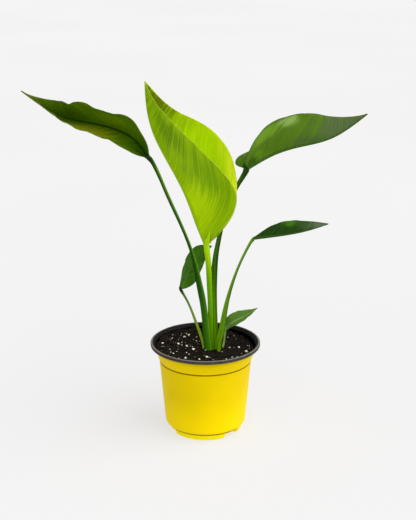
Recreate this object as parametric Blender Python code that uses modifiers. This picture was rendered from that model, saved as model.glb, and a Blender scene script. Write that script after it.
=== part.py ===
"""Potted bird of paradise: six leaves on sheathing petioles, rooted in a mix of peat and perlite
in a round two-colour nursery pot. Metres, +Z up, the pot's underside at Z = 0 and its axis on Z."""

import math

import bmesh
import bpy
import numpy as np

MM = 0.001
GAP = 0.3 * MM  # between pieces that touch

# Pot
POT_STEPS = 48
WALL = 1.2 * MM
POT_OUTSIDE = [
    (75.6, 129.5),
    (76.5, 128.6),
    (76.4, 125.4),
    (75.8, 124.8),
    (71.2, 124.4),
    (69.6, 122.6),
    (65.0, 105.4),
    (64.0, 104.2),
    (64.2, 102.6),
    (56.8, 18.0),
    (56.2, 13.0),
    (54.8, 11.0),
    (52.6, 10.6),
    (52.3, 8.0),
    (51.0, 4.0),
    (48.8, 1.2),
    (46.0, 0.0),
]
POT_INSIDE = [
    (74.6, 130.5),
    (72.4, 128.5),
    (69.9, 125.2),
    (68.3, 122.2),
    (62.9, 103.0),
    (55.5, 18.2),
    (54.8, 13.6),
    (53.5, 12.2),
    (51.3, 11.8),
    (50.9, 8.2),
    (49.7, 4.6),
    (47.9, 2.2),
    (45.6, 1.2),
]
CHANNELS = (-68, 47, 167)  # bearings of the three drainage channels, degrees from -Y towards +X
CHANNEL_HEIGHT = 8.0 * MM
CHANNEL_IN = 22.0 * MM
CHANNEL_OUT = 62.0 * MM
CHANNEL_HALF = (6.0 * MM, 17.5 * MM)  # half widths at its inner and outer ends
DRAIN_RADIUS = 4.0 * MM
DRAIN_AT = 38.0 * MM

# Potting mix
MIX_RINGS = (20, 32, 44, 50, 56, 61, 67)
MIX_LEVEL = 117.5 * MM
# The mix is banked against the wall: how high, and from which radius out to which
BANK = 4.2 * MM
BANK_FROM = 40 * MM
BANK_TO = 67 * MM
CROWN = (9.0 * MM, 0.0)

# Rootstock
CROWN_TOP = 106.0 * MM
STOCK = [
    (0.0, 106.0), (11.0, 105.5), (15.0, 101.0), (14.5, 94.0), (9.0, 86.0), (3.0, 80.0), (0.0, 79.0),
]
ROOTS = [
    [(12, -4, 96), (30, -12, 84), (40, -17, 60), (36, -22, 34), (20, -30, 18)],
    [(13, 4, 94), (34, 16, 78), (42, 26, 50), (30, 32, 24)],
    [(6, 6, 92), (0, 26, 76), (-12, 42, 54), (-16, 44, 28)],
    [(3, -2, 92), (-20, -8, 78), (-40, -6, 52), (-40, 6, 24)],
    [(6, -8, 94), (0, -28, 76), (-10, -46, 50), (-18, -42, 22)],
]
ROOT_RADII = (3.4, 0.9)

# Petioles: centre line and radius, from the crown to the blade
PETIOLES = {
    "centre": [
        (9, 0, 107, 4.1), (8, 0, 150, 4.0), (7.2, -0.5, 190, 4.0), (5.9, -1, 216, 4.0), (4, -1.5, 250, 4.1),
        (2.3, -2, 271, 4.3),
    ],
    "right": [
        (12.2, 2.5, 107, 5.6), (11.7, 4, 140, 5.8), (11, 5, 190, 5.2), (11.8, 5.5, 219, 4.6),
        (14.1, 6.5, 250, 3.8), (17.5, 10, 269, 3.2), (24.2, 16, 297, 2.9), (33, 20, 320, 2.8),
        (44, 19, 348, 2.8), (55.3, 10.8, 373.6, 3.6),
    ],
    "left": [
        (5, -1.5, 107, 6.2), (2, -0.2, 150, 5.9), (-2.1, 4, 185, 5.7), (-7.7, 8, 211, 4.9),
        (-20, 13, 260, 2.6), (-48.4, 22, 326, 2.4), (-59, 24.6, 351, 2.4), (-68, 27.2, 371, 2.8),
        (-77, 29.6, 383.6, 2.6),
    ],
    "lower_right": [
        (17, -5.2, 107, 4.3), (18.3, -5.4, 130, 4.5), (22.4, -6, 146, 4.4), (28.2, -7, 181, 3.1),
        (41.6, -8, 231, 1.8), (55, -8, 263, 1.8), (66, -8, 280.6, 1.8),
    ],
    "lower_left": [
        (-1.5, -1, 107, 2.4), (-2.5, 0, 123, 2.2), (-12, 5, 152, 1.9), (-25.8, 11, 186, 1.5),
        (-34.4, 15.6, 200.4, 1.6),
    ],
    "small_right": [(21, 6.5, 107, 1.6), (25, 8, 120, 1.5), (27, 10, 131, 1.3), (28, 10, 140.8, 1.3)],
}
PETIOLE_SIDES = 12
PETIOLE_RINGS = 16

# Blades. The midrib runs from the petiole to the tip. "roll" turns the section about the midrib,
# "widest" is the place of the greatest width and "taper" how full the base and the tip are. Each
# half has its width, the angle it folds up at the base, middle and tip, how much more it curls
# out to its margin, a wave of the margin (degrees, number, phase) and a backward sweep.
BLADE_THICK = 0.9 * MM
TIP_RADIUS = 0.5 * MM
BLADES = {
    "left": {
        "midrib": [(-78, 30, 386), (-103, 47, 410), (-155, 65, 424), (-203, 88, 431), (-257, 104, 463)],
        "roll": (-74, -64, -41),
        "widest": 0.36,
        "taper": (1.03, 1.42),
        "far": {"width": 42, "fold": (20, 45, 8), "curl": (14, 42, -28), "wave": (9, 3.5, 0.7)},
        "near": {"width": 39, "fold": (43, 46, 52), "curl": (26, 42, 53), "wave": (4, 1.9, 6.1)},
        "base": 2.3,
    },
    "centre": {
        "midrib": [(2, -2, 273), (-7.8, 0, 300), (-29.2, -6, 355), (-67.6, -9, 430), (-77.4, -8, 493)],
        "roll": (-8, -16, 0),
        "widest": 0.41,
        "taper": (0.8, 1.05),
        "far": {"width": 76, "fold": (70, 43, 70), "curl": (58, 40, -37)},
        "near": {"width": 75, "fold": (73, 50, 80), "curl": (-17, 13, -55)},
        "base": 4.2,
    },
    "right": {
        "midrib": [(56, 10, 375), (88, 15, 392), (125, 6, 405.8), (167, -4, 419), (210, -20, 452.6)],
        "roll": (-25, -37, -39),
        "widest": 0.39,
        "taper": (0.72, 1.1),
        "far": {"width": 44, "fold": (35, 41, 51), "curl": (-9, 0, 30), "sweep": (10, -6, 15)},
        "near": {"width": 52, "fold": (49, 39, 54), "curl": (16, 0, 38), "sweep": (50, 5, 0)},
        "base": 2.7,
    },
    "lower_right": {
        "midrib": [(67, -8, 282), (89, -9, 285), (129, -16, 293.2), (164, -22, 305.4)],
        "roll": (-28, -28, -28),
        "widest": 0.47,
        "taper": (0.95, 0.92),
        "far": {"width": 22, "fold": (32, 33, 33), "curl": (3, 5, 6)},
        "near": {"width": 22, "fold": (30, 31, 32), "curl": (0, 2, 6)},
        "base": 1.7,
    },
    "lower_left": {
        "midrib": [(-35, 16, 201), (-23, 25, 224), (-9, 32, 250), (9, 32, 258)],
        "roll": (90, 95, 90),
        "widest": 0.42,
        "taper": (1.05, 0.96),
        "far": {"width": 20, "fold": (25, 5, 25), "curl": (14, -4, 16)},
        "near": {"width": 18, "fold": (23, 13, 22), "curl": (12, 4, 12)},
        "base": 1.4,
    },
    "small_right": {
        "midrib": [(28, 10, 142), (38, 7, 154), (54, 7, 163), (72, 4, 177)],
        "roll": (57, 55, 60),
        "widest": 0.43,
        "taper": (0.95, 1.4),
        "far": {"width": 13, "fold": (25, 40, 26), "curl": (10, 25, 11)},
        "near": {"width": 12, "fold": (21, 30, 25), "curl": (7, 18, 10)},
        "base": 1.3,
    },
}
BLADE_DETAIL = {
    "left": (24, 5),
    "centre": (24, 5),
    "right": (24, 5),
    "lower_right": (16, 4),
    "lower_left": (14, 4),
    "small_right": (12, 4),
}

# Grains lying on the mix: x, y and mean radius
PERLITE = [
    (-38, 12, 1.7), (-30, 36, 1.9), (-24, 44, 1.5), (-60, 6, 1.4), (-26, 2, 1.8), (-17, -9, 2.0),
    (-44, -24, 1.3), (-27, -38, 1.6), (-8, -40, 1.3), (2, -33, 1.8), (47, 8, 1.7), (57, -14, 2.0),
    (44, -32, 1.4), (34, 4, 1.2),
]
BARK = [(38, -44, 3.4), (-50, 22, 2.8), (12, -46, 2.6)]

# Colours
YELLOW = (0.83, 0.62, 0.01)
PEAT = (0.020, 0.013, 0.009)
ROOT_CREAM = (0.55, 0.42, 0.22)
GREENS = {
    "left": (0.050, 0.120, 0.006),
    "centre": (0.270, 0.420, 0.004),
    "right": (0.070, 0.180, 0.012),
    "lower_right": (0.030, 0.100, 0.006),
    "lower_left": (0.050, 0.160, 0.020),
    "small_right": (0.080, 0.200, 0.030),
}
STEM_GREENS = {
    "left": (0.040, 0.130, 0.003),
    "centre": (0.230, 0.380, 0.003),
    "right": (0.050, 0.160, 0.003),
    "lower_right": (0.070, 0.200, 0.005),
    "lower_left": (0.120, 0.270, 0.006),
    "small_right": (0.130, 0.250, 0.030),
}
PERLITE_WHITE = (0.74, 0.72, 0.66)
BARK_BROWN = (0.16, 0.085, 0.04)


def clear_scene():
    for obj in list(bpy.data.objects):
        bpy.data.objects.remove(obj, do_unlink=True)


def collection(name, hidden=False):
    made = bpy.data.collections.new(name)
    bpy.context.scene.collection.children.link(made)
    made.hide_render = hidden
    return made


def material(name, colour, roughness):
    made = bpy.data.materials.new(name)
    made.use_nodes = True
    shader = made.node_tree.nodes["Principled BSDF"]
    shader.inputs["Base Color"].default_value = (*colour, 1.0)
    shader.inputs["Roughness"].default_value = roughness
    shader.inputs["Metallic"].default_value = 0.0
    made.diffuse_color = (*colour, 1.0)
    return made


def finish(bm, name, smooth=True):
    """The mesh as an object, in triangles so that every face is flat, turned outwards."""
    bmesh.ops.triangulate(bm, faces=bm.faces)
    bmesh.ops.recalc_face_normals(bm, faces=bm.faces)
    mesh = bpy.data.meshes.new(name)
    bm.to_mesh(mesh)
    bm.free()
    for face in mesh.polygons:
        face.use_smooth = smooth
    return bpy.data.objects.new(name, mesh)


def place(obj, where, mat=None):
    where.objects.link(obj)
    if mat is not None:
        obj.data.materials.append(mat)
    if where is CUTTERS:
        obj.hide_render = True
        obj.display_type = "WIRE"
    return obj


def baked(obj):
    """The object's own mesh replaced by what its modifiers make of it."""
    bpy.context.view_layer.update()
    graph = bpy.context.evaluated_depsgraph_get()
    mesh = bpy.data.meshes.new_from_object(obj.evaluated_get(graph))
    obj.modifiers.clear()
    obj.data = mesh
    return obj


def boolean(obj, other, operation="DIFFERENCE"):
    cut = obj.modifiers.new(f"{operation.lower()}_{other.name}"[:60], "BOOLEAN")
    cut.operation = operation
    cut.solver = "EXACT"
    cut.object = other


def turned(name, profile, steps, where, mat=None):
    """A solid of revolution about Z; the profile runs down its outer side, from the axis to the axis."""
    bm = bmesh.new()
    rows = [bm.verts.new((r, 0.0, z)) for r, z in profile]
    for first, second in zip(rows, rows[1:]):
        bm.edges.new((first, second))
    mesh = bpy.data.meshes.new(name)
    bm.to_mesh(mesh)
    bm.free()
    obj = place(bpy.data.objects.new(name, mesh), where, mat)
    screw = obj.modifiers.new("turn", "SCREW")
    screw.axis = "Z"
    screw.angle = 2 * math.pi
    screw.steps = steps
    screw.render_steps = steps
    screw.use_merge_vertices = True
    screw.merge_threshold = 1e-5
    screw.use_smooth_shade = True
    baked(obj)
    bm = bmesh.new()
    bm.from_mesh(obj.data)
    bmesh.ops.remove_doubles(bm, verts=bm.verts, dist=1e-6)
    bmesh.ops.triangulate(bm, faces=bm.faces)
    bmesh.ops.recalc_face_normals(bm, faces=bm.faces)
    bm.to_mesh(obj.data)
    bm.free()
    return obj


def bearing(degrees):
    angle = math.radians(degrees)
    return math.sin(angle), -math.cos(angle)


def channel(name, degrees, grow):
    """One drainage channel under the pot, a tapered block with rounded corners, grown all round."""
    bm = bmesh.new()
    bmesh.ops.create_cube(bm, size=1.0)
    low = -10 * MM
    high = CHANNEL_HEIGHT + grow
    for vert in bm.verts:
        outer = vert.co.x > 0
        half = CHANNEL_HALF[1] if outer else CHANNEL_HALF[0]
        vert.co.x = CHANNEL_OUT if outer else CHANNEL_IN - grow
        vert.co.y = math.copysign(half + grow, vert.co.y)
        vert.co.z = high if vert.co.z > 0 else low
    top = [edge for edge in bm.edges if min(v.co.z for v in edge.verts) > 0]
    inner = [edge for edge in bm.edges if max(v.co.x for v in edge.verts) < CHANNEL_IN + grow]
    edges = list(set(top) | set(inner))
    bmesh.ops.bevel(bm, geom=edges, offset=3 * MM, segments=2, profile=0.5, affect="EDGES")
    obj = place(finish(bm, name), CUTTERS)
    x, y = bearing(degrees)
    obj.rotation_euler.z = math.atan2(y, x)
    return obj


def cavity(name, inset, where, mat=None):
    """The space inside the pot, drawn in by a gap, with the channels standing up in it."""
    profile = [(0.0, POT_INSIDE[0][1] * MM)]
    profile += [(r * MM - inset, z * MM) for r, z in POT_INSIDE[:-1]]
    profile += [(POT_INSIDE[-1][0] * MM - inset, POT_INSIDE[-1][1] * MM + inset)]
    profile += [(0.0, POT_INSIDE[-1][1] * MM + inset)]
    obj = turned(name, profile, POT_STEPS, where, mat)
    for number, degrees in enumerate(CHANNELS):
        boolean(obj, channel(f"{name}_channel_{number}", degrees, WALL + inset))
    return obj


def make_pot():
    profile = [(0.0, POT_OUTSIDE[0][1] * MM)]
    profile += [(r * MM, z * MM) for r, z in POT_OUTSIDE]
    profile += [(0.0, 0.0)]
    pot = turned("pot", profile, POT_STEPS, PARTS, material("pot_yellow", YELLOW, 0.35))
    for number, degrees in enumerate(CHANNELS):
        boolean(pot, channel(f"channel_{number}", degrees, 0.0))
    inside = baked(cavity("pot_space", 0.0, CUTTERS))
    boolean(pot, inside)
    for number, degrees in enumerate(CHANNELS):
        x, y = bearing(degrees)
        bpy.ops.mesh.primitive_cylinder_add(
            vertices=16,
            radius=DRAIN_RADIUS,
            depth=30 * MM,
            location=(x * DRAIN_AT, y * DRAIN_AT, CHANNEL_HEIGHT),
        )
        hole = bpy.context.object
        hole.name = f"drain_{number}"
        for owner in list(hole.users_collection):
            owner.objects.unlink(hole)
        place(hole, CUTTERS)
        boolean(pot, hole)
    return pot


def ground(x, y):
    """Height of the mix's surface: higher at the back left, dished at the right, lumpy all over."""
    lump = 0.6 * math.sin(190 * x + 1.3) * math.cos(230 * y) + 0.45 * math.sin(410 * x - 350 * y)
    slope = -0.030 * x + 0.022 * y
    dish = -2.2 * MM * math.exp(-((x - 45 * MM) ** 2 + (y - 18 * MM) ** 2) / (24 * MM) ** 2)
    mound = 1.6 * MM * math.exp(-((x - CROWN[0]) ** 2 + (y - CROWN[1]) ** 2) / (20 * MM) ** 2)
    share = min(max((math.hypot(x, y) - BANK_FROM) / (BANK_TO - BANK_FROM), 0.0), 1.0)
    return MIX_LEVEL + slope + dish + mound + lump * MM + BANK * share**2


def make_mix(cutters):
    """The potting mix: the pot's cavity filled up to the lumpy surface."""
    mix = cavity("potting_mix", GAP, PARTS, material("mix_peat", PEAT, 0.95))
    bm = bmesh.new()
    rings = []
    radii = [r * MM for r in MIX_RINGS] + [80 * MM]
    for radius in radii:
        ring = []
        for step in range(POT_STEPS):
            angle = 2 * math.pi * step / POT_STEPS
            x, y = radius * math.cos(angle), radius * math.sin(angle)
            ring.append(bm.verts.new((x, y, ground(x, y))))
        rings.append(ring)
    centre = bm.verts.new((0.0, 0.0, ground(0.0, 0.0)))
    top = [bm.verts.new((vert.co.x, vert.co.y, 140 * MM)) for vert in rings[-1]]
    for step in range(POT_STEPS):
        after = (step + 1) % POT_STEPS
        bm.faces.new((centre, rings[0][step], rings[0][after]))
        for inner, outer in zip(rings, rings[1:]):
            bm.faces.new((inner[step], outer[step], outer[after], inner[after]))
        bm.faces.new((rings[-1][step], top[step], top[after], rings[-1][after]))
    bm.faces.new(top)
    above = place(finish(bm, "above_mix"), CUTTERS)
    boolean(mix, above)
    for cutter in cutters:
        boolean(mix, cutter)
    return mix


def tube(name, centres, radii, sides, where, mat=None):
    """A tapering tube along a line of points, its ends closed."""
    curve = bpy.data.curves.new(name, "CURVE")
    curve.dimensions = "3D"
    curve.bevel_depth = 1.0
    curve.bevel_resolution = (sides - 4) // 2
    curve.use_fill_caps = True
    spline = curve.splines.new("POLY")
    spline.points.add(len(centres) - 1)
    for point, centre, radius in zip(spline.points, centres, radii):
        point.co = (*centre, 1.0)
        point.radius = radius
    drawn = bpy.data.objects.new(name + "_line", curve)
    CUTTERS.objects.link(drawn)
    bpy.context.view_layer.update()
    graph = bpy.context.evaluated_depsgraph_get()
    mesh = bpy.data.meshes.new_from_object(drawn.evaluated_get(graph))
    bpy.data.objects.remove(drawn, do_unlink=True)
    bm = bmesh.new()
    bm.from_mesh(mesh)
    bpy.data.meshes.remove(mesh)
    bmesh.ops.remove_doubles(bm, verts=bm.verts, dist=1e-6)
    return place(finish(bm, name), where, mat)


def unit(vectors):
    return vectors / np.linalg.norm(vectors, axis=-1, keepdims=True)


def smooth_line(points, count):
    """A natural cubic through the points, evenly spaced along its length. Extra columns follow it."""
    points = np.array(points, float)
    steps = np.linalg.norm(np.diff(points[:, :3], axis=0), axis=1) ** 0.5
    knots = np.concatenate([[0.0], np.cumsum(steps)])
    last = len(points) - 1
    matrix = np.zeros((last + 1, last + 1))
    right = np.zeros_like(points)
    matrix[0, 0] = matrix[last, last] = 1.0
    for i in range(1, last):
        before, after = steps[i - 1], steps[i]
        matrix[i, i - 1 : i + 2] = before, 2 * (before + after), after
        right[i] = 6 * ((points[i + 1] - points[i]) / after - (points[i] - points[i - 1]) / before)
    bend = np.linalg.solve(matrix, right)
    at = np.linspace(0.0, knots[-1], 200)
    i = np.clip(np.searchsorted(knots, at, side="right") - 1, 0, last - 1)
    a = (knots[i + 1] - at)[:, None]
    b = (at - knots[i])[:, None]
    h = steps[i][:, None]
    fine = (bend[i] * a**3 + bend[i + 1] * b**3) / (6 * h)
    fine += (points[i] / h - bend[i] * h / 6) * a + (points[i + 1] / h - bend[i + 1] * h / 6) * b
    run = np.concatenate([[0.0], np.cumsum(np.linalg.norm(np.diff(fine[:, :3], axis=0), axis=1))])
    even = np.linspace(0.0, run[-1], count)
    return np.stack([np.interp(even, run, fine[:, c]) for c in range(points.shape[1])], -1)


def blend(values, t):
    """The quadratic with these values at the base, the middle and the tip."""
    base, middle, tip = values
    return base * (1 - t) * (1 - 2 * t) + 4 * middle * t * (1 - t) + tip * t * (2 * t - 1)


def leaf_surface(leaf, along, across):
    """The upper surface: its rows of points from the near margin over the midrib to the far one, and
    each point's distance out from the midrib."""
    t = np.linspace(0.0, 1.0, along)
    midrib = smooth_line(leaf["midrib"], along) * MM
    tangent = unit(np.gradient(midrib, axis=0))
    up = np.array([0.0, 0.0, 1.0])
    rise = unit(up - (tangent @ up)[:, None] * tangent)
    side = np.cross(tangent, rise)
    roll = np.radians(blend(leaf["roll"], t))[:, None]
    rise = rise * np.cos(roll) + side * np.sin(roll)
    side = np.cross(tangent, rise)
    power = math.log(0.5) / math.log(leaf["widest"])
    full = leaf["taper"][0] + (leaf["taper"][1] - leaf["taper"][0]) * t
    outline = np.sin(np.pi * t**power).clip(0, 1) ** full
    end = (leaf["base"] * MM) * (1 - t) ** 2 + TIP_RADIUS * t
    out = np.linspace(0.0, 1.0, across) ** 1.3
    halves = []
    for sign, half in ((-1, leaf["near"]), (1, leaf["far"])):
        width = half["width"] * MM * outline + end
        fold = blend(half["fold"], t)
        curl = blend(half["curl"], t)
        swing, number, phase = half.get("wave", (0, 1, 0))
        sweep = np.radians(blend(half.get("sweep", (0, 0, 0)), t))[:, None]
        margin = swing * np.sin(2 * np.pi * number * t + phase) * np.sqrt(np.sin(np.pi * t).clip(0, 1))
        point = midrib.copy()
        rows = [point]
        for inner, outer in zip(out, out[1:]):
            mean = (inner + outer) / 2
            angle = np.radians(fold + (curl + margin) * mean)[:, None]
            sideways = np.cos(angle) * side * sign + np.sin(angle) * rise
            heading = np.cos(sweep) * sideways - np.sin(sweep) * tangent
            point = point + (width * (outer - inner))[:, None] * heading
            rows.append(point)
        halves.append((np.array(rows), out[:, None] * width))
    (near, near_out), (far, far_out) = halves
    surface = np.concatenate([near[::-1], far[1:]]).transpose(1, 0, 2)
    distance = np.concatenate([near_out[::-1], far_out[1:]]).T
    return surface, distance


def blade(name, leaf, detail, mat):
    """A thin closed blade with its midrib standing out below."""
    surface, distance = leaf_surface(leaf, *detail)
    along, across = surface.shape[:2]
    lengthways = np.gradient(surface, axis=0)
    sideways = np.gradient(surface, axis=1)
    normal = unit(np.cross(lengthways, sideways))
    t = np.linspace(0.0, 1.0, along)[:, None]
    rib = leaf["base"] * MM
    thick = BLADE_THICK * (0.6 + 0.4 * (1 - t))
    thick = thick + (1.3 * rib * (1 - t) ** 1.5 + 0.3 * MM) * np.exp(-((distance / (1.1 * rib)) ** 2))
    below = surface + normal * thick[..., None]
    bm = bmesh.new()
    upper = [[bm.verts.new(p) for p in row] for row in surface]
    lower = [[bm.verts.new(p) for p in row] for row in below]
    for i in range(along - 1):
        for j in range(across - 1):
            bm.faces.new((upper[i][j], upper[i + 1][j], upper[i + 1][j + 1], upper[i][j + 1]))
            bm.faces.new((lower[i][j], lower[i][j + 1], lower[i + 1][j + 1], lower[i + 1][j]))
        for j in (0, across - 1):
            bm.faces.new((upper[i][j], upper[i + 1][j], lower[i + 1][j], lower[i][j]))
    for i in (0, along - 1):
        for j in range(across - 1):
            bm.faces.new((upper[i][j], upper[i][j + 1], lower[i][j + 1], lower[i][j]))
    return place(finish(bm, name), PARTS, mat)


def make_petioles():
    """The petioles, youngest first. Each older one's sheath is hollowed by the younger ones that it
    wraps, a gap away from them. Returns the enlarged copies that hollow the mix too."""
    enlarged = []
    for name, points in PETIOLES.items():
        line = smooth_line(points, PETIOLE_RINGS) * MM
        mat = material(f"petiole_green_{name}", STEM_GREENS[name], 0.4)
        petiole = tube(f"petiole_{name}", line[:, :3], line[:, 3], PETIOLE_SIDES, PARTS, mat)
        for cutter in enlarged:
            boolean(petiole, cutter)
        step = unit(line[1, :3] - line[0, :3])
        longer = line[:, :3].copy()
        longer[0] -= step * 4 * MM
        longer[-1] += unit(line[-1, :3] - line[-2, :3]) * GAP
        enlarged.append(tube(f"room_{name}", longer, line[:, 3] + GAP, PETIOLE_SIDES, CUTTERS))
    return dict(zip(PETIOLES, enlarged))


def make_roots():
    """The short rootstock under the crown with its fleshy roots, and an enlarged copy of both."""
    made = []
    for name, grow, where in (("rootstock", 0.0, PARTS), ("room_roots", GAP, CUTTERS)):
        profile = [(r * MM + (grow if r else 0.0), z * MM) for r, z in STOCK]
        profile[0] = (0.0, profile[0][1] + grow)
        profile[1] = (profile[1][0], profile[1][1] + grow)
        profile[-1] = (0.0, profile[-1][1] - grow)
        mat = material("root_cream", ROOT_CREAM, 0.6) if where is PARTS else None
        stock = turned(name, profile, 20, where, mat)
        for vert in stock.data.vertices:
            vert.co.x += CROWN[0]
            vert.co.y += CROWN[1]
        for number, points in enumerate(ROOTS):
            line = smooth_line(points, 10) * MM
            radii = np.linspace(*ROOT_RADII, 10) * MM + grow
            boolean(stock, tube(f"{name}_root_{number}", line, radii, 8, CUTTERS), "UNION")
        made.append(stock)
    baked(made[1])
    return made


def grain(name, x, y, radius, flat, mat, smooth, seed):
    """A broken grain lying just clear of the mix."""
    draw = np.random.default_rng(seed)
    bm = bmesh.new()
    bmesh.ops.create_icosphere(bm, subdivisions=2, radius=radius * MM)
    turn = draw.uniform(0, math.pi)
    stretch = draw.uniform(1.0, 1.35)
    for vert in bm.verts:
        vert.co *= draw.uniform(0.8, 1.15)
        vert.co.x *= stretch
        vert.co.z *= flat
    reach = max(math.hypot(v.co.x, v.co.y) for v in bm.verts)
    floor = max(
        ground(x * MM + reach * part * math.cos(a), y * MM + reach * part * math.sin(a))
        for part in (0.0, 0.5, 1.0)
        for a in np.linspace(0, 2 * math.pi, 12)
    )
    low = min(v.co.z for v in bm.verts)
    obj = place(finish(bm, name, smooth), PARTS, mat)
    obj.location = (x * MM, y * MM, floor - low + GAP)
    obj.rotation_euler.z = turn
    return obj


clear_scene()
PARTS = collection("potted_bird_of_paradise")
CUTTERS = collection("cutters", hidden=True)

make_pot()
rootstock, room_roots = make_roots()
rooms = make_petioles()
make_mix([room_roots, *rooms.values()])
for leaf_name, leaf_shape in BLADES.items():
    green = material(f"blade_green_{leaf_name}", GREENS[leaf_name], 0.35)
    made_blade = blade(f"blade_{leaf_name}", leaf_shape, BLADE_DETAIL[leaf_name], green)
    boolean(made_blade, rooms[leaf_name])
for index, (gx, gy, size) in enumerate(PERLITE):
    white = material(f"perlite_white_{index:02d}", PERLITE_WHITE, 0.9)
    grain(f"perlite_{index:02d}", gx, gy, size, 0.8, white, False, 10 + index)
for index, (gx, gy, size) in enumerate(BARK):
    brown = material(f"bark_brown_{index:02d}", BARK_BROWN, 0.85)
    grain(f"bark_{index:02d}", gx, gy, size, 0.45, brown, False, 50 + index)
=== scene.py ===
"""Looks of the potted bird of paradise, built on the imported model. Metres, Z up."""

from math import atan2, ceil, cos, degrees, dist, exp, hypot, log, pi, radians, sin, sqrt

import bmesh
import bpy
import numpy as np
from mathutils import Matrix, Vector, noise


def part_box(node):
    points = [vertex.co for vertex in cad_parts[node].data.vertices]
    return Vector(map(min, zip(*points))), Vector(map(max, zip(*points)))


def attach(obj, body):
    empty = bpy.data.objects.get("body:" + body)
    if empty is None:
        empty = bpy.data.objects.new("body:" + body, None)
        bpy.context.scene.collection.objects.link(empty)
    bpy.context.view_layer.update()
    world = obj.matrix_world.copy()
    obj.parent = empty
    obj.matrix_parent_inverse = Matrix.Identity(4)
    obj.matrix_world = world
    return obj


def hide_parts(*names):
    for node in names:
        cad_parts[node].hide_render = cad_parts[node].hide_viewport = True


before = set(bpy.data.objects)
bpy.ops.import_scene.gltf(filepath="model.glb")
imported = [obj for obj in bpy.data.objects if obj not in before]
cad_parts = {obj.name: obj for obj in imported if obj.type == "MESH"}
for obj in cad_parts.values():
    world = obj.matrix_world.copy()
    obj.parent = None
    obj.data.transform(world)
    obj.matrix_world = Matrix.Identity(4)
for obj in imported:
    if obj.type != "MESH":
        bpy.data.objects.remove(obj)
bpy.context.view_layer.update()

MM = 0.001
BODY = "root"

# Camera, as the photograph was taken: a long lens looking a little down.
CAMERA_AT = (0.0037, -1.4887, 0.7144)
CAMERA_TILT = radians(72.6)
CAMERA_LENS = 79.06
CAMERA_SENSOR = 36
CAMERA_REACH = 60

# Direction towards each light, its spread in degrees, its strength and its colour.
LIGHTS = [
    ("key", (0.62, -0.30, 0.78), 70, 2.35, (1, 0.965, 0.90)),
    ("fill", (-0.7, -1, 0.5), 90, 0.25, (0.97, 0.99, 1)),
]
WORLD_STRENGTH = 0.50
WORLD_COLOUR = (1, 0.985, 0.97, 1)
FLOOR_TONES = ((141, 141, 142), (142, 142, 143))
FLOOR_GLOW = 2.3
FLOOR_HALF = 14
FLOOR_DROP = 0.2 * MM

# Pot profile, outside and inside, radius and height in millimetres. Rounder than the CAD's.
POT_STEPS = 288
LIP_PROFILE = [
    (70.6, 125.9), (71.6, 127.5), (72.5, 128.6), (73.5, 129.3), (74.7, 129.5), (75.6, 129.4), (76.2, 129),
    (76.5, 128.3), (76.5, 126.4), (76.4, 125.5), (76.1, 124.9), (75.5, 124.7), (73.5, 124.6), (71.4, 124.5),
]
BODY_PROFILE = [
    (70.7, 124.3), (70.2, 123.8), (69.8, 122.9), (69.3, 121.5), (68.1, 116.8), (66.4, 110.8), (65.3, 106.6),
    (64.9, 105.5), (64.4, 104.9), (63.9, 104.5), (63.6, 104), (63.7, 103.5), (64, 103.1), (64.15, 102.4),
    (64, 100.5), (62.4, 82), (60.6, 61), (58.7, 40), (57.4, 25), (56.8, 18.5), (56.6, 16),
    (56.3, 14), (55.8, 12.6), (55.1, 11.7), (54.3, 11.1), (53.5, 10.8), (52.9, 10.5), (52.6, 10.1),
    (52.5, 9.4), (52.3, 8), (51.9, 5.8), (51.2, 3.9), (50.3, 2.3), (49.2, 1.1), (47.8, 0.35), (46.4, 0.05),
    (45, 0), (38, 0), (30, 0), (22, 0), (12, 0), (0, 0),
]
INNER_PROFILE = [
    (70, 125.2), (69.5, 124.3), (68.9, 123.1), (68.4, 121.5), (67, 116.4), (65.3, 110), (64, 105),
    (63, 103), (61.2, 82), (59.4, 61), (57.5, 40), (56.2, 25), (55.5, 18.5), (55.1, 15),
    (54.2, 13), (53.2, 12.2), (51.6, 11.8), (51.2, 11), (51, 8.4), (50.5, 6), (49.8, 4.3),
    (48.8, 2.7), (47.4, 1.5), (45.6, 1.2), (38, 1.2), (30, 1.2), (22, 1.2), (12, 1.2), (0, 1.2),
]
# How many of the inside's points are on its floor.
FLAT_POINTS = 5
WALL = 1.2
POT_STRETCH = 6
POT_WOBBLE = 0.10
# Channels through the foot: bearings in degrees from the front, sizes in millimetres.
CHANNELS = (-68, 47, 167)
CHANNEL_HEIGHT = 8
CHANNEL_IN = 22
CHANNEL_HALF_ANGLE = 16.5
CHANNEL_LEAST = 6
CHANNEL_SOFT = 1.6
# Degrees from a channel's middle to its side, and extra bearings there.
CHANNEL_SIDE = (13, 21)
CHANNEL_SIDE_STEPS = 24
DRAIN_RADIUS = 4 * MM
DRAIN_AT = 38 * MM

# The mix's surface, as in the CAD.
MIX_LEVEL = 117.5 * MM
MIX_SLOPE = (-0.030, 0.022)
DISH = 2.2 * MM
DISH_AT = (45 * MM, 18 * MM)
DISH_REACH = 24 * MM
MOUND = 1.6 * MM
MOUND_REACH = 20 * MM
BANK = 4.2 * MM
BANK_FROM = 40 * MM
BANK_TO = 67 * MM
CROWN = (9 * MM, 0)
# Its crumbs: height in millimetres, number to the metre and shift.
CLODS = (0.9, 160)
CRUMBS = ((0.9, 330, (0, 0, 0)), (0.45, 780, (3, 1, 2)))
FINES = (0.25, 1500)
# Its mesh: gap to the pot, side top and longest stretch in millimetres.
MIX_STEPS = 420
MIX_RINGS = 150
MIX_GAP = 0.4
MIX_SIDE_TOP = 112
MIX_STRETCH = 8
# Where the finer grains lie, how far they lean and rise, and the heap at the back left.
FINES_REACH = 64.5 * MM
FINES_LEAN = 0.3
FINES_UP = 0.3
CROWN_CLEAR = 9 * MM
HEAP_AT = (-30 * MM, 22 * MM)
HEAP_REACH = 26 * MM
GRAIN_SEED = 7

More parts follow.
